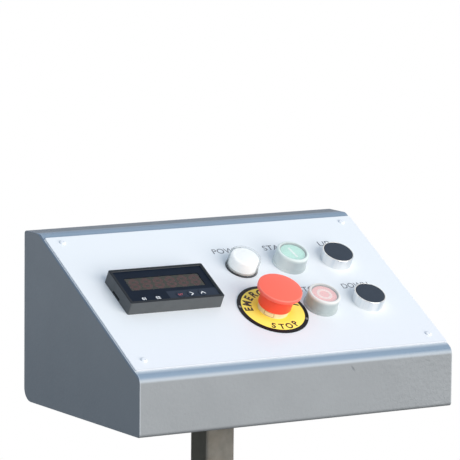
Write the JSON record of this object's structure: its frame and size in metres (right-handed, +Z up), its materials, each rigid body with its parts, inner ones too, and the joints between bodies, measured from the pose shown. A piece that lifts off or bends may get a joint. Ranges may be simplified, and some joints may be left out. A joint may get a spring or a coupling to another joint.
{
  "type": "operator console on a pedestal",
  "caption": "Sloped sheet-metal control desk on a square post, with panel meter, pilot lamp, push buttons and an emergency stop.",
  "frame": {"origin": "middle of the base plate's underside, on the floor", "axes": "+X to the operator's right, +Y away from the operator, +Z up"},
  "size_m": [0.42, 0.36, 1.08],
  "materials": {
    "console_paint": "satin light blue-grey paint",
    "panel_white": "satin white",
    "screw_steel": "zinc plated",
    "gland_grey": "matte light grey",
    "black_rubber": "matte",
    "black_nylon": "matte",
    "post_paint": "satin grey-brown paint",
    "smoked_window": "smoked",
    "display_red": "unlit red segments",
    "light_pipe": "frosted",
    "board_green": "solder mask",
    "terminal_green": "matte",
    "key_grey": "matte",
    "lens_white": "milky translucent",
    "lamp_body": "matte",
    "chrome_ring": "polished",
    "cap_green": "satin",
    "cap_pink": "satin",
    "cap_black": "matte",
    "boot_clear": "frosted silicone",
    "spring_wire": "drawn wire",
    "contact_grey": "matte",
    "estop_red": "satin red",
    "estop_stem_grey": "matte",
    "legend_yellow": "satin, black border"
  },
  "bodies": {
    "console": {"base_gussets": "post_paint", "base_plate": "post_paint", "console_wrap": "console_paint", "control_gaskets": "black_rubber", "control_locknuts": "black_nylon", "down_bezel": "chrome_ring", "down_contact": "contact_grey", "down_spring": "spring_wire", "estop_bezel": "chrome_ring", "estop_contact": "contact_grey", "estop_disc": "legend_yellow", "estop_spring": "spring_wire", "flange_bolts": "screw_steel", "flange_nuts": "screw_steel", "gland_body": "gland_grey", "gland_dome_nut": "gland_grey", "gland_locknut": "black_nylon", "gland_seal": "black_rubber", "left_cheek": "console_paint", "meter_bezel": "black_nylon", "meter_boards": "board_green", "meter_case": "black_nylon", "meter_clips": "black_nylon", "meter_display": "display_red", "meter_light_pipes": "light_pipe", "meter_switches": "key_grey", "meter_terminals": "terminal_green", "meter_window": "smoked_window", "panel_nuts": "screw_steel", "panel_plate": "panel_white", "panel_screws": "screw_steel", "post_flange": "post_paint", "post_tube": "post_paint", "power_body": "lamp_body", "power_diffuser": "lens_white", "power_led": "lamp_body", "power_lens": "lens_white", "right_cheek": "console_paint", "start_bezel": "chrome_ring", "start_boot": "boot_clear", "start_contact": "contact_grey", "start_spring": "spring_wire", "stop_bezel": "chrome_ring", "stop_boot": "boot_clear", "stop_contact": "contact_grey", "stop_spring": "spring_wire", "up_bezel": "chrome_ring", "up_contact": "contact_grey", "up_spring": "spring_wire"},
    "start_button": {"start_cap": "cap_green"},
    "stop_button": {"stop_cap": "cap_pink"},
    "up_button": {"up_cap": "cap_black"},
    "down_button": {"down_cap": "cap_black"},
    "estop_plunger": {"estop_stem": "estop_stem_grey"},
    "estop_knob": {"estop_head": "estop_red"},
    "set_key": {"meter_set_key": "key_grey"},
    "shift_key": {"meter_shift_key": "key_grey"},
    "raise_key": {"meter_raise_key": "key_grey"}
  },
  "joints": [
    {"name": "start_press", "type": "slide", "parent": "console", "child": "start_button", "axis": [0, 0.5, -0.866], "range_m": [0, 0.004], "stiffness_N_per_m": 900, "springref_m": -0.002, "deforming": ["start_spring", "start_boot"]},
    {"name": "stop_press", "type": "slide", "parent": "console", "child": "stop_button", "axis": [0, 0.5, -0.866], "range_m": [0, 0.004], "stiffness_N_per_m": 900, "springref_m": -0.002, "deforming": ["stop_spring", "stop_boot"]},
    {"name": "up_press", "type": "slide", "parent": "console", "child": "up_button", "axis": [0, 0.5, -0.866], "range_m": [0, 0.004], "stiffness_N_per_m": 900, "springref_m": -0.002, "deforming": ["up_spring"]},
    {"name": "down_press", "type": "slide", "parent": "console", "child": "down_button", "axis": [0, 0.5, -0.866], "range_m": [0, 0.004], "stiffness_N_per_m": 900, "springref_m": -0.002, "deforming": ["down_spring"]},
    {"name": "estop_press", "type": "slide", "parent": "console", "child": "estop_plunger", "axis": [0, 0.5, -0.866], "range_m": [0, 0.0045], "deforming": ["estop_spring"]},
    {"name": "estop_twist", "type": "hinge", "parent": "estop_plunger", "child": "estop_knob", "pos_m": [0.0105, -0.0513, 1.03237], "axis": [0, 0.5, -0.866], "range_deg": [0, 45], "stiffness_Nm_per_rad": 0.05, "springref_deg": -11.46},
    {"name": "set_key_press", "type": "slide", "parent": "console", "child": "set_key", "axis": [0, 0.5, -0.866], "range_m": [0, 0.0004], "stiffness_N_per_m": 4000, "springref_m": -0.0002},
    {"name": "shift_key_press", "type": "slide", "parent": "console", "child": "shift_key", "axis": [0, 0.5, -0.866], "range_m": [0, 0.0004], "stiffness_N_per_m": 4000, "springref_m": -0.0002},
    {"name": "raise_key_press", "type": "slide", "parent": "console", "child": "raise_key", "axis": [0, 0.5, -0.866], "range_m": [0, 0.0004], "stiffness_N_per_m": 4000, "springref_m": -0.0002}
  ]
}
